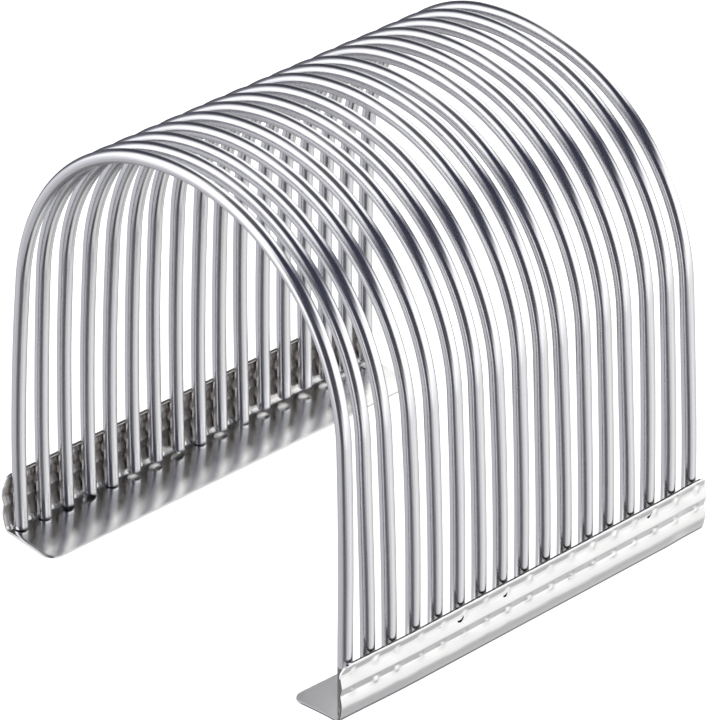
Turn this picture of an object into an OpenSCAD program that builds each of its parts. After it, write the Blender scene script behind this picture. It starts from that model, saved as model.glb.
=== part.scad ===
// Wire arch rack: a row of round wire arches welded into two pressed L rails.
// X runs across the arches, Y along the rails and Z up, with the floor at z = 0.

/* [Arches] */
// Diameter of the wire
wire_d = 3; // [2:0.1:4]
// Number of arches along the rails
arch_count = 17; // [5:1:21]
// Distance from one arch to the next
pitch = 6; // [5:0.1:9]
// Distance between the two feet of an arch, on the axes of the wire
arch_span = 96.5; // [80:0.5:120]
// Height of an arch, from the cut end of the wire up to its axis at the crown
arch_rise = 99; // [85:0.5:120]
// Radius of the flatter stretch over the crown
crown_r = 60; // [50:1:80]
// Half of the angle that the crown stretch covers
crown_a = 10.7; // [5:0.1:16]
// Outward lean of a leg where it leaves the shoulder
leg_lean = 4.1; // [2:0.1:6]
// Height of the upright foot above the top edge of the rail, where the leg begins to lean
foot_over = 0.9; // [0.2:0.1:5]

/* [Rails] */
// Thickness of the sheet
sheet_t = 0.5; // [0.3:0.05:0.8]
// Height of the top edge of the upright flange above the floor
rail_h = 14; // [12.5:0.1:18]
// Width of the floor flange, from its free edge to the outer corner
flange_w = 15; // [10:0.5:20]
// Slope of the floor flange, down towards its free edge
flange_slope = 4.5; // [1:0.1:8]
// Outer radius of the bend between the flanges
bend_r = 1.6; // [1.2:0.1:2.2]
// Radius of the free corners of both flanges
corner_r = 3; // [1:0.1:5]
// Length of rail beyond the axis of the last wire at each end
end_margin = 3.7; // [2.5:0.1:8]
// Depth of the pressed ribs that the wires are welded to
rib_depth = 0.45; // [0.2:0.05:0.8]
// Distance from the top edge of the upright flange down to the upper rib
rib_drop = 2.2; // [1.5:0.1:3]
// Distance from the upper rib down to the lower rib
rib_pitch = 5; // [4:0.1:5.5]

/* [Welds] */
// Gap between the wire and the crest of a rib, filled by the weld
weld_gap = 0.15; // [0.05:0.05:0.3]
// Diameter of a weld spot
weld_d = 1.4; // [0.8:0.1:2]
// Gap between the cut end of the wire and the rail below it
foot_gap = 0.2; // [0.1:0.05:1]

/* [Hidden] */
arch_names = [for (i = [1:arch_count]) str("arch_", i < 10 ? "0" : "", i)];
$fn = 48;

row_len = (arch_count - 1) * pitch;
rail_len = row_len + 2 * end_margin;
function arch_y(i) = (i - 1) * pitch - row_len / 2;

// Rail section: places across the rail, from the middle of the rack outwards
foot_x = arch_span / 2;
rib_x = foot_x + wire_d / 2 + weld_gap;
face_x = rib_x + sheet_t + rib_depth;
edge_x = face_x - flange_w * cos(flange_slope);
bend_x = face_x - bend_r;
bend_z = (bend_x - edge_x) * tan(flange_slope) + bend_r / cos(flange_slope);
bend_steps = 8;

// Heights of the two ribs, and the radius of the pressed pillow between them
upper_rib_z = rail_h - rib_drop;
lower_rib_z = upper_rib_z - rib_pitch;
pillow_r = (pow(rib_pitch / 2, 2) + pow(rib_depth, 2)) / (2 * rib_depth);
pillow_steps = 8;

// Depth of the outer face behind its crests, at a height d from the middle of a pillow
function pillow(d) = pillow_r - sqrt(pow(pillow_r, 2) - pow(d, 2));
// Points of the outer face from height a to height b, on the pillow around height mid
function pillow_points(mid, a, b) =
    [for (k = [0:pillow_steps]) let (z = a + (b - a) * k / pillow_steps) [face_x - pillow(z - mid), z]];
function arc_points(x, z, r, a, b) =
    [for (k = [0:bend_steps]) let (t = a + (b - a) * k / bend_steps) [x + r * cos(t), z + r * sin(t)]];

half_rib = rib_pitch / 2;
upright_points = concat(
    pillow_points(lower_rib_z - half_rib, lower_rib_z - half_rib, lower_rib_z),
    pillow_points(lower_rib_z + half_rib, lower_rib_z, upper_rib_z),
    pillow_points(upper_rib_z + half_rib, upper_rib_z, rail_h));
inner_upright_points = [for (k = [len(upright_points) - 1:-1:0]) upright_points[k] - [sheet_t, 0]];

// Height of the rail's upper surface under the point x of a foot
function floor_z(x) = x > bend_x
    ? bend_z - sqrt(pow(bend_r - sheet_t, 2) - pow(x - bend_x, 2))
    : (x - edge_x) * tan(flange_slope) + sheet_t / cos(flange_slope);

// Arch: the bowed leg and the shoulder are solved so that span and rise both come out
foot_z = floor_z(foot_x + wire_d / 2) + foot_gap;
bow_z = rail_h + foot_over;
foot_len = bow_z - foot_z;
need_x = foot_x - crown_r * sin(crown_a);
need_z = arch_rise - foot_len - crown_r * (1 - cos(crown_a));
det = (cos(leg_lean) - sin(crown_a)) * sin(leg_lean)
    - (1 - cos(leg_lean)) * (cos(crown_a) - sin(leg_lean));
shoulder_r = (need_x * sin(leg_lean) - need_z * (1 - cos(leg_lean))) / det;
bow_r = (need_z * (cos(leg_lean) - sin(crown_a)) - need_x * (cos(crown_a) - sin(leg_lean))) / det;
shoulder_x = foot_x - bow_r + (bow_r - shoulder_r) * cos(leg_lean);
shoulder_z = bow_z + (bow_r - shoulder_r) * sin(leg_lean);
crown_z = foot_z + arch_rise - crown_r;

// Where two stretches of one wire meet, the thinner runs a short lap into the thicker
lap = wire_d / 15;
lap_step = wire_d / 300;

steel = "lightsteelblue";
pressed_steel = "gainsboro";

// Wire of diameter d bent on radius r about [x, z], from angle a to angle b above the X axis
module wire_arc(x, z, r, a, b, d) {
    translate([x, 0, z])
        rotate([90, 0, 0])
            rotate_extrude(angle = b - a, start = a)
                translate([r, 0]) circle(d = d);
}

module foot() {
    translate([foot_x, 0, foot_z]) cylinder(h = foot_len + lap, d = wire_d);
}

module half_arch() {
    lap_a = lap / shoulder_r * 180 / PI;
    foot();
    wire_arc(foot_x - bow_r, bow_z, bow_r, 0, leg_lean, wire_d + lap_step);
    wire_arc(shoulder_x, shoulder_z, shoulder_r, leg_lean - lap_a, 90 - crown_a + lap_a, wire_d);
}

module arch(i) {
    color(steel)
        translate([0, arch_y(i), 0]) {
            half_arch();
            mirror([1, 0, 0]) half_arch();
            wire_arc(0, crown_z, crown_r, 90 - crown_a, 90 + crown_a, wire_d + lap_step);
        }
}

// The bent and ribbed sheet of the right rail, before its corners are rounded
module rail_sheet() {
    translate([0, rail_len / 2, 0])
        rotate([90, 0, 0])
            linear_extrude(rail_len)
                polygon(concat(
                    [[edge_x, 0]],
                    arc_points(bend_x, bend_z, bend_r, flange_slope - 90, 0),
                    upright_points,
                    inner_upright_points,
                    arc_points(bend_x, bend_z, bend_r - sheet_t, 0, flange_slope - 90),
                    [[edge_x - sheet_t * sin(flange_slope), sheet_t * cos(flange_slope)]]));
}

// What is cut from a square corner at the origin to round it, through a depth h about z = 0
module corner_cut(h) {
    difference() {
        translate([-corner_r, -corner_r, -h / 2]) cube([2 * corner_r, 2 * corner_r, h]);
        translate([corner_r, corner_r, -h]) cylinder(r = corner_r, h = 2 * h);
    }
}

module rail_end_cuts() {
    cut_h = 4 * (rib_depth + sheet_t);
    // free corner of the upright flange
    translate([face_x, -rail_len / 2, rail_h])
        rotate([0, 90, 0]) corner_cut(cut_h);
    // free corner of the floor flange
    translate([edge_x - sheet_t * sin(flange_slope), -rail_len / 2, 0])
        rotate([0, -flange_slope, 0]) corner_cut(cut_h);
}

module right_rail_shape() {
    difference() {
        rail_sheet();
        rail_end_cuts();
        mirror([0, 1, 0]) rail_end_cuts();
    }
}

// Two weld spots for each foot, filling the gap between the wire and the ribs
module right_weld_spots() {
    difference() {
        for (i = [1:arch_count], z = [lower_rib_z, upper_rib_z])
            translate([foot_x, arch_y(i), z])
                rotate([0, 90, 0]) cylinder(h = rib_x - foot_x + sheet_t / 2, d = weld_d);
        for (i = [1:arch_count]) translate([0, arch_y(i), 0]) foot();
        rail_sheet();
    }
}

module right_rail() {
    color(pressed_steel) right_rail_shape();
}

module left_rail() {
    color(pressed_steel) mirror([1, 0, 0]) right_rail_shape();
}

module right_welds() {
    color(steel) right_weld_spots();
}

module left_welds() {
    color(steel) mirror([1, 0, 0]) right_weld_spots();
}

left_rail();
right_rail();
for (i = [1:arch_count]) arch(i);
left_welds();
right_welds();
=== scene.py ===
import bmesh, bpy, math
import numpy as np
from mathutils import Matrix, Vector


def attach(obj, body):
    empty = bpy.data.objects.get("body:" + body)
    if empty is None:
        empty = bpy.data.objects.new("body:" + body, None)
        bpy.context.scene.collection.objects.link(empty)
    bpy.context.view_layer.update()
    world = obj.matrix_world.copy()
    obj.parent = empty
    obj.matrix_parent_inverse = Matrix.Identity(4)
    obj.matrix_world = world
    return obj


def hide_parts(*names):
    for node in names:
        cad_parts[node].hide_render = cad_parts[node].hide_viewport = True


# Wire arch rack: seventeen drawn steel wires resistance welded into two pressed L rails.
# Lengths in the dictionaries are in millimetres; the meshes are in metres.
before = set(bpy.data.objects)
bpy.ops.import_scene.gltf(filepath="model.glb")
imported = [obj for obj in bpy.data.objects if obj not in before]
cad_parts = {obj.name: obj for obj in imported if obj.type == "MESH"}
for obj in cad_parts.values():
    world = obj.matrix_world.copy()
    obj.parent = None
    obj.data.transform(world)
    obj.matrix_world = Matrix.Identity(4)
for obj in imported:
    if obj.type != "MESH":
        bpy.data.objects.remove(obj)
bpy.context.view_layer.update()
mm = 0.001
dice = np.random.default_rng(17)


def addNode(tree, kind, settings=None, values=None, links=None):
    node = tree.nodes.new(kind)
    for name, value in (settings or {}).items():
        setattr(node, name, value)
    for socket, value in (values or {}).items():
        node.inputs[socket].default_value = value
    for socket, source in (links or {}).items():
        tree.links.new(source, node.inputs[socket])
    return node


def linear(hexText, strength=1.0):
    # sRGB hex to linear colour, each channel by the usual power curve
    code = [int(hexText[i:i + 2], 16) / 255 for i in (1, 3, 5)]
    return [strength * (c / 12.92 if c <= 0.04045 else ((c + 0.055) / 1.055) ** 2.4) for c in code] + [1]


# Angles in degrees; the clip range alone is in metres
cameraView = {"azimuth": 46.63, "elevation": 29.89, "roll": -0.385, "distance": 1117.2,
              "target": (0.25, -0.33, 41.94), "lens": 281.97, "sensor": 36, "clip": (0.01, 20)}


def makeCamera(view):
    az, el, roll = (math.radians(view[k]) for k in ("azimuth", "elevation", "roll"))
    back = Vector((math.sin(az) * math.cos(el), -math.cos(az) * math.cos(el), math.sin(el)))
    right = Vector((math.cos(az), math.sin(az), 0))
    up = back.cross(right)
    tiltedRight = right * math.cos(roll) + up * math.sin(roll)
    tiltedUp = up * math.cos(roll) - right * math.sin(roll)
    data = bpy.data.cameras.new("camera")
    data.lens, data.sensor_width, data.sensor_fit = view["lens"], view["sensor"], "HORIZONTAL"
    data.clip_start, data.clip_end = view["clip"]
    camera = bpy.data.objects.new("camera", data)
    bpy.context.scene.collection.objects.link(camera)
    turn = Matrix((tiltedRight, tiltedUp, back)).transposed().to_4x4()
    place = (Vector(view["target"]) + back * view["distance"]) * mm
    camera.matrix_world = Matrix.Translation(place) @ turn
    bpy.context.scene.camera = camera


makeCamera(cameraView)
print("camera placed")


# What the bright steel mirrors. Directions are azimuth (0 towards -Y, 90 towards +X) and elevation,
# in degrees. "open" is the light where no panel stands, "level" scales all of it, and azimuths
# run over the range "seam", where a panel is cut off. Each panel: centre azimuth, centre elevation,
# half width, half height, soft edge, turn, shade, strength. A later panel covers an earlier one.
studio = {"open": ("#FFFFFF", 1.55), "level": 0.81, "seam": (-40, 320),
          "panels": {
              "floorNear": (140, -60, 400, 42, 8, 0, "#FAFAFE", 0.66),
              "card": (124, -4, 48, 21, 6, 0, "#FFFFFF", 1.55),
              "floorDeep": (140, -90, 400, 34, 9, 0, "#FFFFFF", 0.26),
              "floorSide": (140, -32, 50, 14, 12, 0, "#FFFFFC", 0.84),
              "floorBright": (112, -59, 60, 24, 7, 0, "#FFFFFC", 0.92),
              "floorHot": (126, -27, 22, 8, 9, 0, "#FFFFFF", 1.2),
              "railGrey": (151, -61, 27, 22, 5, 0, "#F6F6F8", 0.63),
              "leftHaze": (288, -15, 36, 12, 9, 0, "#FAFAFF", 1.0),
              "floorBack": (184, -33, 27, 16, 8, 0, "#FFFFFF", 1.0),
              "floorBehind": (222, -40, 31, 25, 6, 0, "#F0F0F8", 0.10),
              "sideLight": (284, -30, 26, 12, 8, 0, "#F8F8FF", 0.75),
              "frontLow": (24, -22, 17, 10, 6, 0, "#F0F0FF", 0.13),
              "frontDeep": (46, -43, 20, 15, 6, 0, "#F0F0FF", 0.09),
              "frontDark": (23, 5, 26, 27, 7, 0, "#F0F0FF", 0.10),
              "frontWide": (50, 13, 22, 21, 8, 0, "#F0F0FF", 0.10),
              "zenith": (140, 92, 400, 33, 9, 0, "#E8E8F4", 0.15),
              "ceiling": (85, 63, 67, 29, 7, 0, "#C8C8FF", 0.075),
              "ceilingFront": (36, 36, 24, 22, 9, 0, "#C8C8FF", 0.09),
              "ceilingFall": (171, 23, 33, 7, 6, -48, "#D0D0FF", 0.12),
              "backShade": (257, 24, 24, 32, 14, 0, "#ECECFF", 0.4),
              "backDark": (247, 21, 21, 39, 6, 0, "#E0E0F8", 0.09),
              "horizonDark": (262, 4, 18, 8, 7, 0, "#ECECFF", 0.22)}}


def makeStudio(plan):
    world = bpy.data.worlds.new("studio")
    bpy.context.scene.world = world
    world.use_nodes = True
    tree = world.node_tree
    tree.nodes.clear()
    place = addNode(tree, "ShaderNodeTexCoord")
    ray = addNode(tree, "ShaderNodeSeparateXYZ", links={0: place.outputs["Generated"]})
    towards = addNode(tree, "ShaderNodeMath", {"operation": "MULTIPLY"}, {1: -1}, {0: ray.outputs[1]})
    angle = addNode(tree, "ShaderNodeMath", {"operation": "ARCTAN2"},
                    links={0: ray.outputs[0], 1: towards.outputs[0]})
    degrees = addNode(tree, "ShaderNodeMath", {"operation": "DEGREES"}, links={0: angle.outputs[0]})
    seamLow, seamHigh = plan["seam"]
    azimuth = addNode(tree, "ShaderNodeMath", {"operation": "WRAP"}, {1: seamHigh, 2: seamLow},
                      {0: degrees.outputs[0]})
    rise = addNode(tree, "ShaderNodeMath", {"operation": "ARCSINE"}, links={0: ray.outputs[2]})
    elevation = addNode(tree, "ShaderNodeMath", {"operation": "DEGREES"}, links={0: rise.outputs[0]})
    spot = addNode(tree, "ShaderNodeCombineXYZ", links={0: azimuth.outputs[0], 1: elevation.outputs[0]})
    light = addNode(tree, "ShaderNodeRGB")
    light.outputs[0].default_value = linear(*plan["open"])
    colour = light.outputs[0]
    for az, el, halfAz, halfEl, soft, turn, shade, strength in plan["panels"].values():
        away = addNode(tree, "ShaderNodeVectorMath", {"operation": "SUBTRACT"}, {1: (az, el, 0)},
                       {0: spot.outputs[0]})
        turned = addNode(tree, "ShaderNodeVectorRotate", {"rotation_type": "Z_AXIS"},
                         {"Angle": math.radians(-turn)}, {"Vector": away.outputs[0]})
        size = addNode(tree, "ShaderNodeVectorMath", {"operation": "ABSOLUTE"}, links={0: turned.outputs[0]})
        edge = addNode(tree, "ShaderNodeMapRange",
                       {"data_type": "FLOAT_VECTOR", "interpolation_type": "SMOOTHSTEP"},
                       {7: (halfAz - soft, halfEl - soft, 0), 8: (halfAz + soft, halfEl + soft, 1),
                        9: (1, 1, 1), 10: (0, 0, 0)}, {6: size.outputs[0]})
        parts = addNode(tree, "ShaderNodeSeparateXYZ", links={0: edge.outputs[1]})
        mask = addNode(tree, "ShaderNodeMath", {"operation": "MULTIPLY"},
                       links={0: parts.outputs[0], 1: parts.outputs[1]})
        mix = addNode(tree, "ShaderNodeMix", {"data_type": "RGBA"}, {7: linear(shade, strength)},
                      {0: mask.outputs[0], 6: colour})
        colour = mix.outputs[2]
    glow = addNode(tree, "ShaderNodeBackground", values={1: plan["level"]}, links={0: colour})
    plain = addNode(tree, "ShaderNodeBackground", values={0: (1, 1, 1, 1)})
    path = addNode(tree, "ShaderNodeLightPath")
    choose = addNode(tree, "ShaderNodeMixShader",
                     links={0: path.outputs["Is Camera Ray"], 1: glow.outputs[0], 2: plain.outputs[0]})
    addNode(tree, "ShaderNodeOutputWorld", links={0: choose.outputs[0]})


makeStudio(studio)
bpy.context.scene.view_settings.view_transform = "Standard"


mergeReach = 1e-7  # metres


def meshPiece(name, points, faces, uv=None, look=None):
    # points as an (n, 3) array in millimetres, faces as an (m, 4) array, uv as (m, 4, 2)
    mesh = bpy.data.meshes.new(name)
    mesh.vertices.add(len(points))
    mesh.vertices.foreach_set("co", (np.asarray(points, float) * mm).ravel())
    mesh.loops.add(faces.size)
    mesh.loops.foreach_set("vertex_index", faces.ravel().astype(np.int32))
    mesh.polygons.add(len(faces))
    mesh.polygons.foreach_set("loop_start", np.arange(len(faces), dtype=np.int32) * 4)
    mesh.polygons.foreach_set("use_smooth", np.ones(len(faces), bool))
    if uv is not None:
        layer = mesh.uv_layers.new(name="surface")
        layer.data.foreach_set("uv", uv.ravel())
    if look is not None:
        mesh.polygons.foreach_set("material_index", look.astype(np.int32))
    mesh.update(calc_edges=True)
    # a ring of no radius becomes one point, which closes the pole
    merged = bmesh.new()
    merged.from_mesh(mesh)
    bmesh.ops.remove_doubles(merged, verts=merged.verts, dist=mergeReach)
    merged.to_mesh(mesh)
    merged.free()
    mesh.validate()
    piece = bpy.data.objects.new(name, mesh)
    bpy.context.scene.collection.objects.link(piece)
    return piece


def gridFaces(rows, columns, closed):
    # quads of a grid of rows by columns, closed round the columns where asked
    i, j = np.meshgrid(np.arange(rows - 1), np.arange(columns if closed else columns - 1), indexing="ij")
    i, j = i.ravel(), j.ravel()
    k = (j + 1) % columns
    return np.stack([i * columns + j, i * columns + k, (i + 1) * columns + k, (i + 1) * columns + j], 1)


# White paper under the rack; its own glow keeps it white, and the steel doesn't mirror it
floorPlan = {"reach": 900, "shade": "#FFFFFF", "glow": 0.8}


def makeFloor(plan):
    reach = plan["reach"]
    corners = np.array([(-1, -1, 0), (1, -1, 0), (1, 1, 0), (-1, 1, 0)], float) * reach
    floor = meshPiece("floor", corners, np.array([[0, 1, 2, 3]]))
    paper = bpy.data.materials.new("white paper floor")
    paper.use_nodes = True
    tree = paper.node_tree
    tree.nodes.clear()
    matt = addNode(tree, "ShaderNodeBsdfDiffuse", values={0: linear(plan["shade"])})
    glow = addNode(tree, "ShaderNodeEmission", values={0: linear(plan["shade"], plan["glow"])})
    both = addNode(tree, "ShaderNodeAddShader", links={0: matt.outputs[0], 1: glow.outputs[0]})
    addNode(tree, "ShaderNodeOutputMaterial", links={0: both.outputs[0]})
    floor.data.materials.append(paper)
    floor.visible_glossy = False


makeFloor(floorPlan)
print("studio ready")


# Bare steels. "grain" is a noise of that scale, detail and roughness; as it runs over "spread", the
# finish goes from the first "rough" value to the second, and it lifts a bump of that strength and
# height. A mapped noise is in millimetres around and along the wire, any other in metres.
rolled = {"stretch": (5000, 160, 5000), "grain": (1, 3, 0.6), "cloud": (260, 2, 0.5),
          "grainShare": 0.6, "spread": (0.5, 1.1)}
speckled = {"grain": (2600, 2, 0.5), "spread": (0.35, 0.65), "bump": (0.4, 0.00005)}
steelPlans = {
    # hard drawn wire: bright, with faint die lines along its length
    "wire": {"name": "drawn stainless wire", "shade": "#EDEDF0", "map": "surface",
             "stretch": (9, 0.35, 1), "grain": (1, 3, 0.6), "spread": (0.3, 0.7),
             "rough": (0.16, 0.24), "bump": (0.06, 0.00005)},
    # cold rolled sheet: satin, with a soft grain about 0.15 mm across and 6 mm long
    "sheet": rolled | {"name": "pressed stainless sheet", "shade": "#F6F6F6",
                       "rough": (0.12, 0.22), "bump": (0.12, 0.00004)},
    # the side that lay on the die: rubbed dull, and painted greyer for the shade inside the rack
    "inner": rolled | {"name": "pressed stainless sheet, die side, painted shade", "shade": "#DCD8D4",
                       "rough": (0.25, 0.38), "bump": (0.2, 0.00004)},
    # the top of the floor flange: bright, but scratched by use
    "floor": rolled | {"name": "pressed stainless sheet, scratched", "shade": "#F4F4F2",
                       "rough": (0.12, 0.24), "bump": (0.3, 0.00004)},
    # resistance weld nuggets: the same steel, melted, dull and a little darker
    "weld": {"name": "dull weld steel", "shade": "#A9A6A2", "grain": (3000, 2, 0.5),
             "spread": (0.3, 0.7), "rough": (0.32, 0.5), "bump": (0.3, 0.00005)},
    # sheared edges of the sheet: torn and rough, and painted darker as the shade along the rails' top edges
    # and cut ends
    "edge": speckled | {"name": "sheared steel edge, painted shade", "shade": "#62605E", "rough": (0.3, 0.5)},
    # burnt flash beside the welds: nearly black; the same black is the painted shade of three torn slits on
    # the right rail
    "flash": speckled | {"name": "burnt weld flash and painted slit shade", "shade": "#2A2826", "rough": (0.4, 0.6)},
    # a wire end past its weld: darker grey
    "darkened": speckled | {"name": "scuffed steel wire end", "shade": "#8A888A",
                           "rough": (0.2, 0.55)}}


def addNoise(tree, grain, place):
    scale, detail, rough = grain
    return addNode(tree, "ShaderNodeTexNoise",
                   values={"Scale": scale, "Detail": detail, "Roughness": rough}, links={0: place})


def makeSteel(plan):
    steel = bpy.data.materials.new(plan["name"])
    steel.use_nodes = True
    tree = steel.node_tree
    shader = tree.nodes["Principled BSDF"]
    shader.inputs["Metallic"].default_value = 1
    shader.inputs["Base Color"].default_value = linear(plan["shade"])
    if "map" in plan:
        place = addNode(tree, "ShaderNodeUVMap", {"uv_map": plan["map"]}).outputs[0]
    else:
        place = addNode(tree, "ShaderNodeTexCoord").outputs["Object"]
    stretched = place
    if "stretch" in plan:
        stretched = addNode(tree, "ShaderNodeMapping", values={"Scale": plan["stretch"]},
                            links={0: place}).outputs[0]
    grain = addNoise(tree, plan["grain"], stretched)
    cause = grain
    if "cloud" in plan:
        # broad clouds of polish under the grain
        cloud = addNoise(tree, plan["cloud"], place)
        cause = addNode(tree, "ShaderNodeMath", {"operation": "MULTIPLY_ADD"},
                        {1: plan["grainShare"]}, {0: grain.outputs[0], 2: cloud.outputs[0]})
    finish = addNode(tree, "ShaderNodeMapRange",
                     values=dict(zip((1, 2, 3, 4), plan["spread"] + plan["rough"])),
                     links={0: cause.outputs[0]})
    strength, height = plan["bump"]
    bump = addNode(tree, "ShaderNodeBump", values={"Strength": strength, "Distance": height},
                   links={"Height": grain.outputs[0]})
    tree.links.new(finish.outputs[0], shader.inputs["Roughness"])
    tree.links.new(bump.outputs[0], shader.inputs["Normal"])
    return steel


steels = {kind: makeSteel(plan) for kind, plan in steelPlans.items()}
print("materials ready")


# The path is the CAD arch: foot, bowed leg, shoulder and crown, all tangent to each other. Each
# wire then wobbles a little above "wobbleFrom", and its right leg follows the rail's toe-in up to
# "pullTop", sliding along the rack by nearly as much. "scuffed" is the length of wire made darker grey.
arch = {"diameter": 3.0, "count": 17, "pitch": 6.0, "footX": 48.25, "footZ": 1.7, "bowZ": 14.9,
        "bowRadius": 630.7, "legLean": 4.1, "shoulderRadius": 43.73, "shoulderX": 3.022,
        "shoulderZ": 56.87, "crownRadius": 60.0, "crownHalf": 10.7, "crownZ": 40.866,
        "around": 32, "step": 0.75, "rim": 0.12, "rimMiddle": 0.035, "cutSlant": 0.10,
        "cutZone": 5, "wobble": 0.02, "wobbleKnots": 15, "wobbleFrom": 18, "wobbleOver": 30,
        "pullTop": 62, "pullOver": 46, "slide": 0.92, "mapShift": (13.7, 31.1), "darkened": 13,
        # How far each wire leans out of its own plane, in mm along the rack: right foot, right leg,
        # right shoulder, crown, left shoulder, left leg, left foot. Most are a tracking program's
        # measurements of one rack, rounded; the crowns and the last five left sides are given one by one.
        "lean": (
            (-.5, .5, 2.4, 3.7, 1.9, .1, -.8), (-.4, -.35, 1.0, 2.2, .7, .1, -.5),
            (-.6, -.5, .2, 1.4, .8, .05, -.3), (-.2, .2, .5, 1.4, 1.3, .4, -.1),
            (-.1, .1, .55, 1.5, 1.5, .5, 0), (0, .35, 1.2, 1.9, 1.3, .5, .2),
            (0, .05, .7, 1.3, .7, .3, .3), (-.1, -.05, .05, .8, .8, .6, .5),
            (-.1, 0, .8, 1.6, 1.2, 1.0, .7), (0, -.2, .7, 1.4, .9, .8, .7),
            (0, -.3, -.45, .15, .6, .6, .9), (.1, -.25, .25, .9, 1.3, 1.1, 1.1),
            (.1, -.25, .1, .9, 1.1, 1.1, 1.1), (.2, -.5, -.2, .5, 1.0, 1.0, 1.2),
            (0, -.1, .15, .75, 1.0, 1.0, 1.2), (.15, -.15, .05, .5, 1.0, 1.0, 1.2),
            (.3, -.4, -.4, -.4, .6, .9, 1.1)),
        # the share of the wire's length at which each of those seven stands, and their smoothing
        "leanAt": (0.055, 0.16, 0.335, 0.5, 0.70, 0.84, 0.945), "leanSmooth": 41,
        # How each left foot was cut: how far it stops short, then the slope of the cut
        "leftCut": (
            (0.05, 0), (0, 0), (0.35, -0.1), (0.35, -0.45), (0, 0), (0.75, 0.1), (0.8, 0),
            (0.75, -0.2), (0, 0), (0.8, 0), (0, 0.2), (0.95, 0), (1.2, 0), (1.15, 0.1), (1.0, 0),
            (0.9, 0), (0.6, 0))}


def archPath(plan):
    # right half: straight foot, arc of bowRadius, arc of shoulderRadius, arc of crownRadius
    def arc(x, z, r, a, b):
        steps = max(3, int(r * math.radians(b - a) / plan["step"]))
        t = np.radians(np.linspace(a, b, steps + 1))
        return np.stack([x + r * np.cos(t), z + r * np.sin(t)], 1)
    rise = np.arange(plan["footZ"], plan["bowZ"], plan["step"])
    half = np.concatenate([
        np.stack([np.full_like(rise, plan["footX"]), rise], 1),
        arc(plan["footX"] - plan["bowRadius"], plan["bowZ"], plan["bowRadius"], 0, plan["legLean"])[:-1],
        arc(plan["shoulderX"], plan["shoulderZ"], plan["shoulderRadius"], plan["legLean"],
            90 - plan["crownHalf"])[:-1],
        arc(0, plan["crownZ"], plan["crownRadius"], 90 - plan["crownHalf"], 90)])
    return np.concatenate([half, half[-2::-1] * (-1, 1)])


path = archPath(arch)
pathLength = np.concatenate([[0], np.cumsum(np.hypot(*np.diff(path, axis=0).T))])
pathShare = pathLength / pathLength[-1]


def smooth(values, width):
    window = np.hanning(width + 2)[1:-1]
    padded = np.pad(values, width // 2, mode="edge")
    return np.convolve(padded, window / window.sum(), mode="valid")[:len(values)]


def smoothStep(t):
    t = np.clip(t, 0, 1)
    return t * t * (3 - 2 * t)


# The right rail was not welded on quite square. How far each rail stands in towards the middle at
# its first foot and at its last, then how much its front and back ends curl in on top of that.
toeIn = {"right": (0.06, 0.56, 0.55, 0.2), "left": (0.0, 0.0, 0.0, 0.0),
         "lastFoot": 48, "frontCurl": (-30, 24), "backCurl": (41, 6)}


def railDrift(side, y):
    first, last, front, back = toeIn[side]
    reach = toeIn["lastFoot"]
    frontStart, frontRun = toeIn["frontCurl"]
    backStart, backRun = toeIn["backCurl"]
    return (first + (last - first) * (y + reach) / (2 * reach) +
            front * smoothStep((frontStart - y) / frontRun) +
            back * smoothStep((y - backStart) / backRun))


def wander(plan):
    # slow random drift of a wire that was straightened before it was bent
    count = plan["wobbleKnots"]
    knots = dice.normal(0, plan["wobble"], count)
    return smooth(np.interp(pathShare, np.linspace(0, 1, count), knots), count)


feetY = arch["pitch"] * (np.arange(arch["count"]) - (arch["count"] - 1) / 2)
rightFeet = feetY + [row[0] for row in arch["lean"]] + arch["slide"] * railDrift("right", feetY)
leftFeet = feetY + [row[-1] for row in arch["lean"]]


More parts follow.
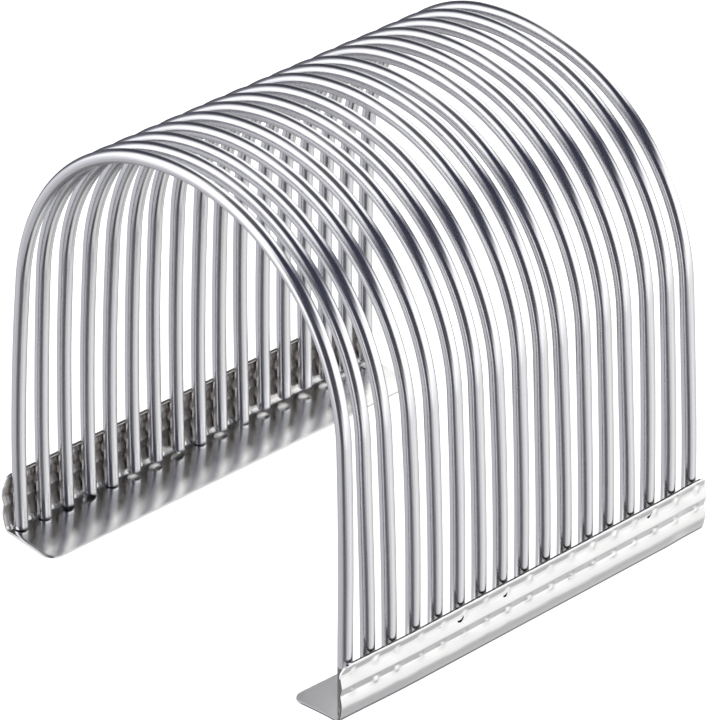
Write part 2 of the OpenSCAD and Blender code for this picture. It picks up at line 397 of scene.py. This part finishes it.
def makeArch(index, plan):
    # a circle carried along the path; near each cut end it shrinks to a small burr-free edge
    middle = plan["pitch"] * (index - (plan["count"] + 1) / 2)
    out = smooth(np.interp(pathShare, plan["leanAt"], plan["lean"][index - 1]), plan["leanSmooth"])
    fade = np.clip((path[:, 1] - plan["wobbleFrom"]) / plan["wobbleOver"], 0, 1)
    pull = (railDrift("right", middle) * (path[:, 0] > 0) *
            smoothStep((plan["pullTop"] - path[:, 1]) / plan["pullOver"]))
    line = np.stack([path[:, 0] + wander(plan) * fade - pull,
                     middle + out + wander(plan) * fade + plan["slide"] * pull, path[:, 1]], 1)
    tangent = np.gradient(line, axis=0)
    tangent /= np.linalg.norm(tangent, axis=1)[:, None]
    side = np.array([0, 1, 0]) - tangent * tangent[:, 1:2]
    side /= np.linalg.norm(side, axis=1)[:, None]
    outward = np.cross(side, tangent)
    # rings: the cut face, a tiny rounded rim, then the path, and the same at the far end
    radius = plan["diameter"] / 2
    size, middleSize = plan["rim"], plan["rimMiddle"]
    rim = np.array([(0, 0), (radius / 3, 0), (radius - size, 0), (radius - middleSize, middleSize),
                    (radius, size)])
    ringOf = np.concatenate([np.zeros(len(rim), int), np.arange(1, len(line) - 1),
                             np.full(len(rim), len(line) - 1)])
    ringRadius = np.concatenate([rim[:, 0], np.full(len(line) - 2, radius), rim[::-1, 0]])
    ringShift = np.concatenate([rim[:, 1], np.zeros(len(line) - 2), -rim[::-1, 1]])
    turn = np.linspace(0, 2 * math.pi, plan["around"], endpoint=False)
    rings = (line[ringOf] + tangent[ringOf] * ringShift[:, None])[:, None, :]
    rings = rings + ringRadius[:, None, None] * (
        np.cos(turn)[None, :, None] * side[ringOf][:, None, :] +
        np.sin(turn)[None, :, None] * outward[ringOf][:, None, :])
    # slanted cut: the end rings are sheared along the wire
    near = smoothStep(1 - (rings[..., 2] - plan["footZ"]) / plan["cutZone"])
    raised, slant = plan["leftCut"][index - 1]
    shift = raised + slant * (rings[..., 1] - leftFeet[index - 1])
    rings[..., 2] += near * np.where(rings[..., 0] < 0, shift, plan["cutSlant"] *
                                     (np.abs(rings[..., 0]) - plan["footX"]))
    rows = len(ringOf)
    faces = gridFaces(rows, plan["around"], True)[:, ::-1]
    along = pathLength[ringOf] + ringShift
    step = math.pi * plan["diameter"] / plan["around"]
    row, column = np.divmod(np.arange(len(faces)), plan["around"])
    uv = np.stack([np.stack([column, column + 1, column + 1, column], 1) * step,
                   np.stack([along[row + 1], along[row + 1], along[row], along[row]], 1)], 2)
    name = f"wireArch{index:02d}"
    # the first wire's right end shows past the end of its rail, darker grey up to the weld
    darkened = (index == 1) & (np.arange(rows - 1) < plan["darkened"] / plan["step"])
    # each wire has its own place on the surface map, so that no two show the same lines
    shiftAround, shiftAlong = plan["mapShift"]
    piece = meshPiece(name, rings.reshape(-1, 3), faces, uv + (index * shiftAround, index * shiftAlong),
                      np.repeat(darkened, plan["around"]))
    for kind in ("wire", "darkened"):
        piece.data.materials.append(steels[kind])
    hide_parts(f"arch_{index:02d}")
    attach(piece, "root")
    return piece


for index in range(1, arch["count"] + 1):
    makeArch(index, arch)
print("arches bent")


# The section is the CAD rail: a floor flange sloping to its free edge, a bend, and an upright
# flange pressed into ribs. "bow" is how far the flange's ends turn off its straight line, "bend"
# gives the radius for each direction of the face, and "tilt" how far the face leans back at each
# height. The tilt decides what the steel mirrors: the face looks up below each rib, turns sharply
# at the rib, and looks down above it.
rail = {"sheet": 0.5, "edgeX": 35.896, "slope": 4.5, "bow": 3.0, "cornerX": 50.42, "height": 13.92,
        "faceX": 50.85, "bend": ((-86, 0.6), (-46, 0.6), (-40, 3.6), (-4, 3.6)),
        "tilt": ((3.2, -12), (4.1, -8.4), (5.0, 0), (5.6, 9.5), (7.1, 12), (7.35, 16), (7.55, -19),
                 (8.9, -17), (9.25, 0), (9.55, 10), (11.7, 11.5), (11.9, 16), (12.1, -11),
                 (13.5, -9), (13.62, 14), (13.92, 18)),
        "flangePoints": 24, "bendPoints": 61, "uprightPoints": 400,
        # both ends along y, and the radius of the rounded corners there
        "ends": {"right": (-51.2, 51.7), "left": (-51.7, 51.7)},
        "corners": {"right": (3.0, 1.4), "left": (3.0, 3.0)},
        # rounding of the outer and inner rims, and the burr that thickens the top edge
        "outerRim": 0.08, "innerRim": {"right": 0.1, "left": 0.2}, "rimRows": 5,
        "lip": 0.3, "lipDepth": 0.8, "lipRise": 0.6,
        # rows across the section, coarse on the flange and fine over the ribs
        "cornerRows": 9, "cornerFrom": 0.15, "coarseGap": 0.5, "coarse": 0.6,
        "fine": 0.16, "fineFrom": 12.4,
        # columns on each side of a foot, closer together over its welds, and clear of the ends
        "columns": (0.07, 0.21, 0.35, 0.49, 0.65, 0.85, 1.12, 1.55, 2.1, 2.75), "clear": 0.3,
        # heights of the welds, how far they stray, and what the electrodes left: a bump and a dent
        "ribZ": (7.45, 12.0), "strayY": 0.12, "strayZ": (-0.05, 0.1), "markSize": (0.45, 1.35),
        "bump": {"right": 0.26, "left": 0.05}, "bumpY": 0.8, "bumpZ": (0.6, 0.9),
        "dent": {"right": 0.24, "left": 0.04}, "dentY": 0.62, "dentUp": 0.8, "dentZ": 0.5,
        # a ridge behind each wire and a slow wave of the sheet, on the upright alone: each wave
        # has a length, a rise in z and a share
        "ridge": 0.03, "ridgeY": 0.9, "ridgeVary": 0.4, "wave": 0.03,
        "waves": ((11.3, 1.9, 0.5), (6.4, -2.7, 0.3), (17.9, 1.1, 0.4)),
        "uprightFrom": 4.2, "uprightRise": 1.5, "topFade": 0.8, "markFade": 0.5,
        # below "scuffTop" the inner side is the floor flange; "wear" is the polished share of a corner
        "scuffTop": 2, "wear": 0.97, "sharp": 40}


def railSection(plan):
    # outer face from the free edge of the floor flange: line, bend, then the tilt summed up the face
    turn = np.linspace(plan["slope"] - plan["bow"] - 90, plan["tilt"][0][1], plan["bendPoints"])
    radius = np.interp(turn, *np.transpose(plan["bend"]))
    turn = np.radians(turn)
    middle = (turn[1:] + turn[:-1]) / 2
    run = (radius[1:] + radius[:-1]) / 2 * np.diff(turn)
    steps = np.stack([-np.sin(middle) * run, np.cos(middle) * run], 1)
    bend = np.concatenate([[(0, 0)], np.cumsum(steps, 0)])
    bend[:, 0] += plan["cornerX"] - bend[-1, 0]
    bend[:, 1] += (bend[0, 0] - plan["edgeX"]) * math.tan(math.radians(plan["slope"]))
    z = np.linspace(bend[-1, 1], plan["height"], plan["uprightPoints"])
    tilt = np.radians(np.interp(z, *np.transpose(plan["tilt"])))
    x = bend[-1, 0] - np.concatenate([[0], np.cumsum(np.tan(tilt[1:]) * np.diff(z))])
    share = np.linspace(0, 1, plan["flangePoints"] + 1)[:-1]
    flange = np.stack([plan["edgeX"] + share * (bend[0, 0] - plan["edgeX"]), share * bend[0, 1]], 1)
    flange[:, 1] += share * (1 - share) * (bend[0, 0] - plan["edgeX"]) * math.radians(plan["bow"])
    line = np.concatenate([flange, bend, np.stack([x, z], 1)[1:]])
    line[:, 0] -= max(0, line[:, 0].max() - plan["faceX"])
    run = np.concatenate([[0], np.cumsum(np.hypot(*np.diff(line, axis=0).T))])
    return line, run


railLine, railRun = railSection(rail)


def makeRail(name, node, side, plan, feet):
    line, run, mirrored = railLine, railRun, side == "left"
    ends, corners = plan["ends"][side], plan["corners"][side]
    total, rim, corner = run[-1], plan["outerRim"], max(corners)
    # rows across the section, closer together at the free edges and over the pressed ribs
    quarter = np.linspace(0, math.pi / 2, plan["rimRows"])
    rimIn, rimDrop = 1 - np.sin(quarter), 1 - np.cos(quarter)
    rimRows = rim * rimDrop
    edgeRows = corner * (1 - np.cos(np.linspace(plan["cornerFrom"], math.pi / 2, plan["cornerRows"])))
    coarseRows = np.arange(rim + corner + plan["coarseGap"], plan["fineFrom"], plan["coarse"])
    fineRows = np.arange(plan["fineFrom"], total - corner - rim, plan["fine"])
    rows = np.concatenate([rimRows, rim + edgeRows, coarseRows, fineRows,
                           total - rim - edgeRows[::-1], total - rimRows[::-1]])
    outer = np.stack([np.interp(rows, run, line[:, 0]), np.interp(rows, run, line[:, 1])], 1)
    tangent = np.stack([np.interp(rows, run, np.gradient(line[:, 0], run)),
                        np.interp(rows, run, np.gradient(line[:, 1], run))], 1)
    tangent /= np.linalg.norm(tangent, axis=1)[:, None]
    normal = np.stack([tangent[:, 1], -tangent[:, 0]], 1)
    # the ends of each row: a quarter circle at both free corners
    reach = []
    for radius in corners:
        free = np.minimum(rows, total - rows).clip(0, radius)
        reach.append((np.sqrt(radius ** 2 - (radius - free) ** 2) - radius)[:, None])
    away = np.array(plan["columns"])
    columns = np.unique(np.concatenate([(foot + away, foot - away) for foot in feet]).round(3))
    columns = columns[(columns > ends[0] + plan["clear"]) & (columns < ends[1] - plan["clear"])]
    share = np.concatenate([[0], (columns - ends[0]) / (ends[1] - ends[0]), [1]])
    low, high = ends[0] - reach[0], ends[1] + reach[1]
    y = np.concatenate([low + rimRows[:-1], low + rim + share * (high - low - 2 * rim),
                        high - rimRows[-2::-1]], axis=1)
    # how far each face sinks towards the middle of the sheet where the edge rounds off
    sink = np.zeros(y.shape)
    for k in range(plan["rimRows"] - 1):
        for at in ((k, slice(None)), (-1 - k, slice(None)), (slice(None), k), (slice(None), -1 - k)):
            sink[at] = np.maximum(sink[at], rimIn[k])
    # the lip is a little thicker where the shear left its burr
    z = outer[:, 1:2]
    burr = np.clip((z - plan["height"] + plan["lipDepth"]) / plan["lipRise"], 0, 1)
    inside = plan["sheet"] + plan["lip"] * burr
    # marks: a bell pushed out at each weld, a faint ridge behind each wire, a slow wave of the sheet
    upright = (np.clip((z - plan["uprightFrom"]) / plan["uprightRise"], 0, 1) *
               np.clip((plan["height"] - z) / plan["topFade"], 0, 1))
    belowTop = np.clip((plan["height"] - z) / plan["markFade"], 0, 1)
    push = np.zeros_like(y)
    for foot in feet:
        ridge = dice.normal(1, plan["ridgeVary"]) * plan["ridge"] * upright
        push += ridge * np.exp(-((y - foot) / plan["ridgeY"]) ** 2)
        for rib in plan["ribZ"]:
            across, up = foot + dice.normal(0, plan["strayY"]), rib + dice.normal(*plan["strayZ"])
            height = np.where(z < up, plan["bumpZ"][0], plan["bumpZ"][1])
            bell = np.exp(-((y - across) / plan["bumpY"]) ** 2 - ((z - up) / height) ** 2)
            dent = np.exp(-((y - across) / plan["dentY"]) ** 2 -
                          ((z - up - plan["dentUp"]) / plan["dentZ"]) ** 2)
            mark = plan["bump"][side] * bell - plan["dent"][side] * dent
            push += dice.uniform(*plan["markSize"]) * mark * belowTop
    phase = 2 * math.pi * (y + dice.uniform(0, arch["pitch"]))
    push += plan["wave"] * upright * sum(np.sin(phase / length + z / rise) * share
                                         for length, rise, share in plan["waves"])
    drift = railDrift(side, y)
    push = np.minimum(push, plan["faceX"] - outer[:, :1] + drift)
    sides = []
    for depth in (-sink * rim, sink * plan["innerRim"][side] - inside):
        away = depth + push
        sides.append(np.stack([outer[:, :1] + normal[:, :1] * away - drift, y,
                               outer[:, 1:2] + normal[:, 1:2] * away], 2))
    count, columns = y.shape
    points = np.concatenate([sides[0].reshape(-1, 3), sides[1].reshape(-1, 3)])
    points[:, 2] = np.maximum(points[:, 2], 0)
    out, inn = np.arange(2 * count * columns).reshape(2, count, columns)
    skin = gridFaces(count, columns, False)
    strips = [skin, skin[:, ::-1] + count * columns]
    # looks: 0 outer side, 1 sheared edge (painted shade), 2 inner upright side (painted shade), 3 top of the
    # floor flange
    innerLook = np.where(outer[:-1, 1] > plan["scuffTop"], 2, 3)
    looks = [np.zeros(len(skin)), np.repeat(innerLook, columns - 1)]
    # the top edge is torn, and painted dark for its shade; so are the right rail's cut ends, but for the
    # polished corners
    inCorner = (np.minimum(rows, total - rows)[:-1] < plan["wear"] * corner)
    for a, b, flip in ((out[0], inn[0], False), (out[-1], inn[-1], True),
                       (out[:, 0], inn[:, 0], True), (out[:, -1], inn[:, -1], False)):
        strip = np.stack([a[:-1], b[:-1], b[1:], a[1:]], 1)
        strips.append(strip[:, ::-1] if flip else strip)
        if len(strip) == count - 1:
            looks.append(~inCorner & (not mirrored))
        else:
            looks.append(np.full(len(strip), a[0] != out[0, 0]))
    faces, look = np.concatenate(strips), np.concatenate(looks)
    if mirrored:
        points[:, 0] *= -1
        faces = faces[:, ::-1]
    piece = meshPiece(name, points, faces, look=look)
    piece.data.set_sharp_from_angle(angle=math.radians(plan["sharp"]))
    for kind in ("sheet", "edge", "inner", "floor"):
        piece.data.materials.append(steels[kind])
    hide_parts(node)
    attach(piece, "root")
    return piece


makeRail("railRight", "right_rail", "right", rail, rightFeet)
makeRail("railLeft", "left_rail", "left", rail, leftFeet)
print("rails pressed")


# Each foot has two weld plugs, a grid of depth by turn, and beside each a bead of flash: a tube of
# nine sections by six corners, bent into a crescent. "beadFrom" and "beadRun" are ranges in y and z,
# from the weld to the bead's start and from there to its tip.
weld = {"radius": 0.7, "radiusVary": (0.85, 1.15), "flare": 0.16, "inner": 49.55, "outer": 49.98,
        "plugGrid": (5, 14), "beadGrid": (9, 6), "beadSize": (0.05, 0.1),
        "beadFrom": ((-0.9, -0.5), (-0.5, -0.1)), "beadRun": ((0.3, 0.6), (0.5, 0.9)),
        "beadShape": (0, 0.5, 1, 0.8, 0.6, 0.55, 0.45, 0.2, 0), "crescent": 0.22, "proud": 0.02,
        # Painted shade of three torn slits on the right rail: nearly black slivers from (y, z) to (y, z),
        # with their thickness. The places are a program's output, from marks picked on one rack; the
        # thicknesses are given.
        "slitShade": ((-19.83, 10.91, -18.04, 11.82, 0.29), (-7.03, 11.09, -5.95, 12.19, 0.29),
                  (34.39, 11.57, 35.55, 12.76, 0.2)),
        "faceFrom": 60}  # point of the rail's section from which its outer face only rises


def flashBead(start, end, size, side, plan):
    # share of the length at each section, with the first and last section closed to a point
    share = np.concatenate([[0], np.linspace(0, 1, plan["beadGrid"][0] - 2), [1]])
    path = np.array(start) + share[:, None] * (np.array(end) - np.array(start))
    across = np.array([end[1] - start[1], start[0] - end[0]])
    path = path + across * (plan["crescent"] * np.sin(math.pi * share))[:, None]
    thick = size * np.array(plan["beadShape"])
    turn = np.linspace(0, 2 * math.pi, plan["beadGrid"][1], endpoint=False)
    away = across / np.hypot(*across)
    faceX, faceZ = railLine[plan["faceFrom"]:].T
    face = np.interp(path[:, 1], faceZ, faceX) - railDrift(side, path[:, 0])
    x = np.minimum(face[:, None] + plan["proud"] + thick[:, None] * np.cos(turn), rail["faceX"])
    spread = thick[:, None] * np.sin(turn)
    return np.stack([x, path[:, :1] + spread * away[0], path[:, 1:] + spread * away[1]], 2).reshape(-1, 3)


def makeWelds(name, node, side, plan, feet):
    # each weld is a short waisted plug: radius against two parameters, angle and depth
    layers, corners = plan["plugGrid"]
    depth, turn = np.meshgrid(np.linspace(0, 1, layers),
                              np.linspace(0, 2 * math.pi, corners, endpoint=False), indexing="ij")
    (fromY, fromZ), (runY, runZ) = plan["beadFrom"], plan["beadRun"]
    points, faces, looks, start = [], [], [], 0
    for foot, rib in [(foot, rib) for foot in feet for rib in rail["ribZ"]]:
        size = plan["radius"] * dice.uniform(*plan["radiusVary"])
        radius = size + plan["flare"] * (2 * depth - 1) ** 2
        radius[0], radius[-1] = 0, 0
        plug = np.stack([plan["inner"] + depth * (plan["outer"] - plan["inner"]) - railDrift(side, foot),
                         foot + radius * np.cos(turn), rib + radius * np.sin(turn)], 2).reshape(-1, 3)
        place = foot + dice.uniform(*fromY), rib + dice.uniform(*fromZ)
        tip = place[0] + dice.uniform(*runY), place[1] + dice.uniform(*runZ)
        bead = flashBead(place, tip, dice.uniform(*plan["beadSize"]), side, plan)
        # looks: 0 weld, 1 flash
        for part, grid, look in ((plug, plan["plugGrid"], 0), (bead, plan["beadGrid"], 1)):
            points.append(part)
            faces.append(gridFaces(*grid, True) + start)
            looks.append(np.full(len(faces[-1]), look))
            start += len(part)
    # nearly black slivers on the right rail: painted shade of three torn slits
    for y1, z1, y2, z2, size in plan["slitShade"] if side == "right" else ():
        points.append(flashBead((y1, z1), (y2, z2), size, side, plan))
        faces.append(gridFaces(*plan["beadGrid"], True) + start)
        looks.append(np.ones(len(faces[-1])))
        start += len(points[-1])
    points, faces = np.concatenate(points), np.concatenate(faces)
    if side == "left":
        points[:, 0] *= -1
        faces = faces[:, ::-1]
    piece = meshPiece(name, points, faces, look=np.concatenate(looks))
    for kind in ("weld", "flash"):
        piece.data.materials.append(steels[kind])
    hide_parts(node)
    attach(piece, "root")
    return piece


makeWelds("weldsRight", "right_welds", "right", weld, rightFeet)
makeWelds("weldsLeft", "left_welds", "left", weld, leftFeet)
print("welds set")
